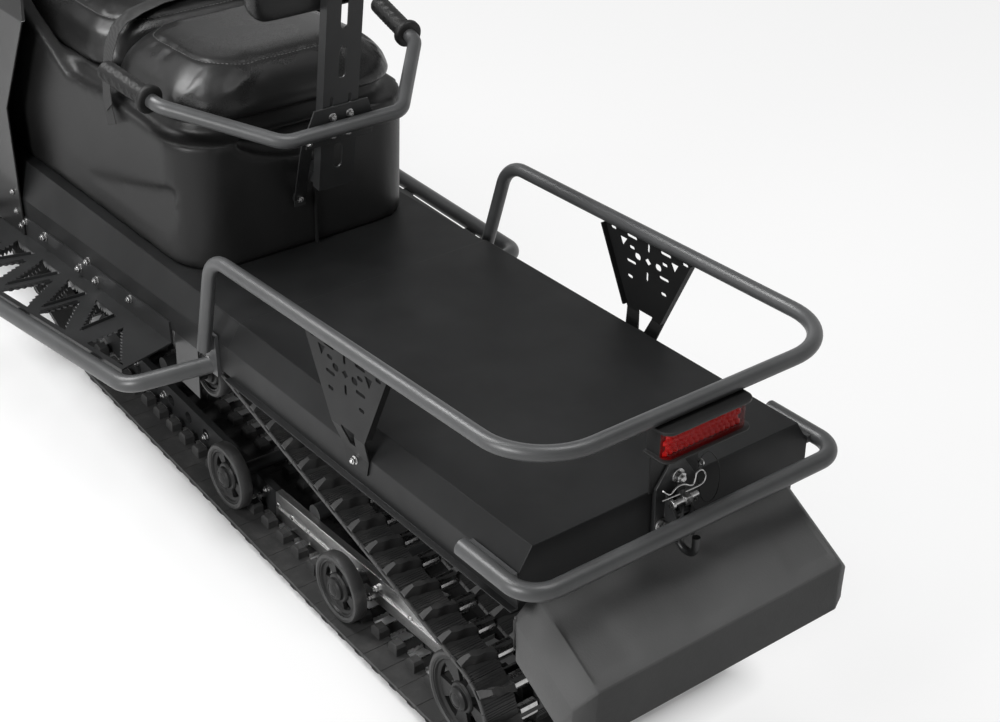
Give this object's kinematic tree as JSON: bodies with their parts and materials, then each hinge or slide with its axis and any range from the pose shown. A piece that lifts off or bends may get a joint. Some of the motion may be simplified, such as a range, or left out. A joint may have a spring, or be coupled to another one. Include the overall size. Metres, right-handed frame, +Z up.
{
  "type": "snowmobile",
  "caption": "Wide-track utility snowmobile with two-up seat, backrest, cargo rack, tow hitch, steered skis and opening hood",
  "frame": {"origin": "middle of the footprint's bounding box, on the ground", "axes": "x forward, y to the rider's left, z up"},
  "size_m": [3.1244, 1.06, 1.3023],
  "materials": {
    "frame_black": "satin powder coat",
    "moulded_black": "matte",
    "seat_vinyl": "grained vinyl",
    "soft_rubber": "matte",
    "track_rubber": "worn matte",
    "bright_steel": "zinc plated",
    "bright_alloy": "extruded",
    "cast_grey": "as cast",
    "body_gloss": "gloss",
    "red_lens": "clear red",
    "clear_lens": "clear",
    "smoke_screen": "smoked"
  },
  "bodies": {
    "chassis": {"backrest_brace": "frame_black", "backrest_pad": "seat_vinyl", "backrest_post": "frame_black", "belly_pan": "moulded_black", "board_tubes": "frame_black", "boards": "frame_black", "carrier_hangers": "frame_black", "carrier_wheels": "moulded_black", "console": "moulded_black", "cowls": "body_gloss", "cushion_passenger": "seat_vinyl", "cushion_rider": "seat_vinyl", "drive_axle": "bright_steel", "engine_block": "cast_grey", "front_bumper": "frame_black", "grab_grips": "soft_rubber", "grab_handle": "frame_black", "grab_plate": "frame_black", "gussets": "frame_black", "hitch_bracket": "frame_black", "hitch_hook": "frame_black", "lamp_housing": "moulded_black", "lamp_lens": "red_lens", "rack": "frame_black", "rear_bumper": "frame_black", "rear_idlers": "moulded_black", "road_wheels": "moulded_black", "seat_base": "moulded_black", "skid_arms": "frame_black", "skid_rails": "frame_black", "skid_rear_rails": "bright_alloy", "skid_shafts": "bright_steel", "skid_shock": "bright_steel", "snow_flap": "moulded_black", "struts": "frame_black", "track": "track_rubber", "tunnel": "frame_black", "tunnel_rear": "frame_black"},
    "steering": {"handlebar": "frame_black", "bar_grips": "soft_rubber", "bar_controls": "moulded_black"},
    "ski_left_set": {"ski_left": "moulded_black", "ski_leg_left": "frame_black"},
    "ski_right_set": {"ski_right": "moulded_black", "ski_leg_right": "frame_black"},
    "tie_rod_left": {"tie_rod_left": "bright_steel"},
    "tie_rod_right": {"tie_rod_right": "bright_steel"},
    "hood": {"hood": "body_gloss", "headlamp": "clear_lens", "windshield": "smoke_screen", "gauge_pod": "moulded_black"}
  },
  "joints": [
    {"name": "steering", "type": "hinge", "parent": "chassis", "child": "steering", "pos_m": [0.41658, 0, 1.02168], "axis": [-0.5225, 0, 0.8526], "range_deg": [-35, 35]},
    {"name": "ski_left_steer", "type": "hinge", "parent": "chassis", "child": "ski_left_set", "pos_m": [0.91424, 0.44, 0.096], "axis": [-0.309, 0, 0.9511], "range_deg": [-30, 30]},
    {"name": "ski_right_steer", "type": "hinge", "parent": "chassis", "child": "ski_right_set", "pos_m": [0.91424, -0.44, 0.096], "axis": [-0.309, 0, 0.9511], "range_deg": [-30, 30]},
    {"name": "tie_rod_left_slide", "type": "slide", "parent": "chassis", "child": "tie_rod_left", "axis": [0, 1, 0], "range_m": [-0.053, 0.053]},
    {"name": "tie_rod_right_slide", "type": "slide", "parent": "chassis", "child": "tie_rod_right", "axis": [0, 1, 0], "range_m": [-0.053, 0.053]},
    {"name": "hood_hinge", "type": "hinge", "parent": "chassis", "child": "hood", "pos_m": [1.29479, 0, 0.39083], "axis": [0, 1, 0], "range_deg": [0, 65]}
  ],
  "couplings": [
    {"joint": "ski_left_steer", "follows": "steering", "ratio": 0.85},
    {"joint": "ski_right_steer", "follows": "steering", "ratio": 0.85},
    {"joint": "tie_rod_left_slide", "follows": "steering", "m_per_rad": -0.085},
    {"joint": "tie_rod_right_slide", "follows": "steering", "m_per_rad": -0.085}
  ]
}
